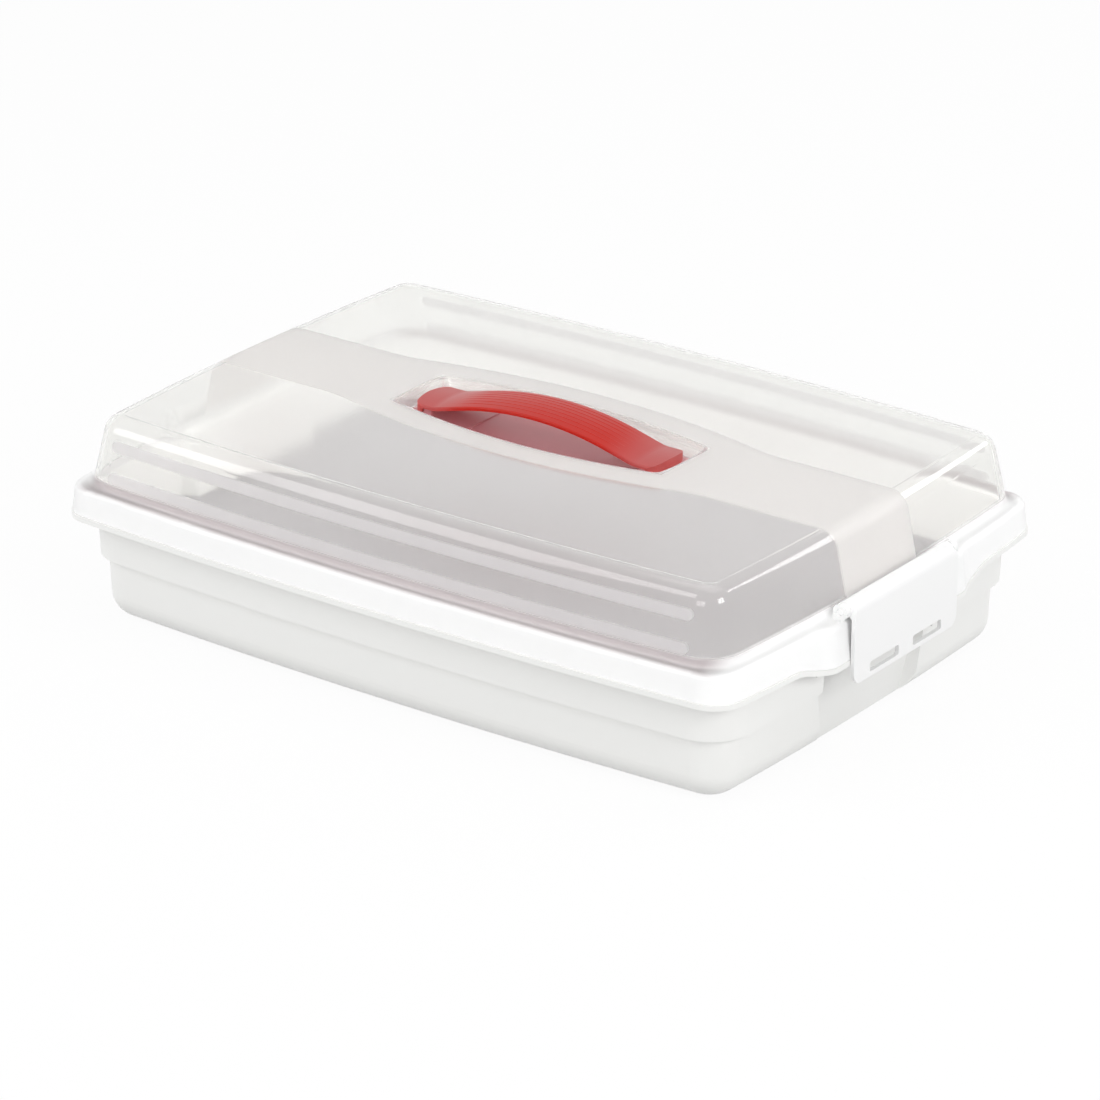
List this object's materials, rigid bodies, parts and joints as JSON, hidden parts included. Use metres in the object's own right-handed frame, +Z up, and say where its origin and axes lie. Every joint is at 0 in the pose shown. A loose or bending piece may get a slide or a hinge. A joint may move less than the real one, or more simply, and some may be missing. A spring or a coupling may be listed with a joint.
{
  "type": "cake carrier",
  "caption": "Rectangular cake carrier: white tray with a grey serving insert, clear lift-off lid with a red strap handle in a recess, and a swinging clip at each short end.",
  "frame": {"origin": "centre of the tray's underside, on the table", "axes": "+X along the long side towards the right clip, +Y towards the back long side, +Z up"},
  "size_m": [0.4374, 0.3, 0.1227],
  "materials": {
    "white_polypropylene": "satin",
    "grey_polypropylene": "matte",
    "clear_polypropylene": "clear gloss",
    "red_polypropylene": "satin",
    "natural_polypropylene": "satin"
  },
  "bodies": {
    "base": {"base_tray": "white_polypropylene"},
    "insert": {"insert_panel": "grey_polypropylene"},
    "lid": {"lid": "clear_polypropylene", "carry_handle": "red_polypropylene"},
    "latch_left": {"latch_left": "natural_polypropylene"},
    "latch_right": {"latch_right": "natural_polypropylene"}
  },
  "joints": [
    {"name": "lid_lift", "type": "slide", "parent": "base", "child": "lid", "axis": [0, 0, 1], "range_m": [0, 0.18]},
    {"name": "insert_lift", "type": "slide", "parent": "base", "child": "insert", "axis": [0, 0, 1], "range_m": [0, 0.03]},
    {"name": "latch_right_hinge", "type": "hinge", "parent": "lid", "child": "latch_right", "pos_m": [0.212, 0, 0.081], "axis": [0, -1, 0], "range_deg": [0, 140]},
    {"name": "latch_left_hinge", "type": "hinge", "parent": "lid", "child": "latch_left", "pos_m": [-0.212, 0, 0.081], "axis": [0, 1, 0], "range_deg": [0, 140]}
  ]
}
